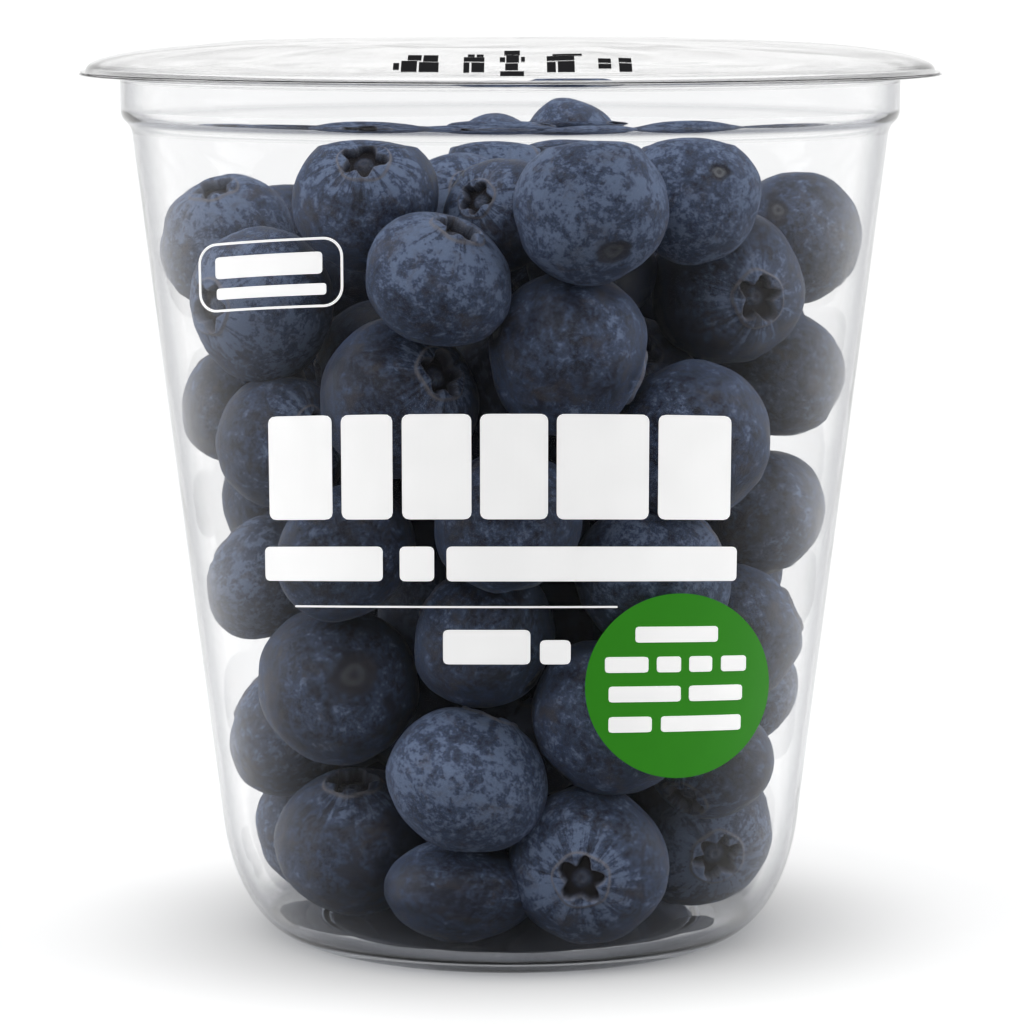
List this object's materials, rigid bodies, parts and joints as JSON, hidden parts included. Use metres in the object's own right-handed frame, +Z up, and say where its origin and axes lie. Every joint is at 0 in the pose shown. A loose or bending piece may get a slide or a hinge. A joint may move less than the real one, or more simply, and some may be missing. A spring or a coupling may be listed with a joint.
{
  "type": "tub of blueberries",
  "caption": "Tall round tapered clear tub packed with fresh blueberries, sealed by a domed clear film on its flange, with a round green print on the front.",
  "frame": {"origin": "on the tub's axis, at the level of its standing ring", "axes": "+Z up along the tub's axis, -Y towards the front that carries the print"},
  "size_m": [0.095, 0.095, 0.1001],
  "materials": {
    "clear_tub": "clear glossy thin plastic",
    "berry_skin": "navy fruit skin under a mottled grey-blue waxy bloom",
    "clear_film": "clear thin sealing film",
    "green_print": "smooth opaque green print"
  },
  "bodies": {
    "root": {"tub": "clear_tub", "berries": "berry_skin", "lid_film": "clear_film", "round_label": "green_print"}
  },
  "joints": []
}
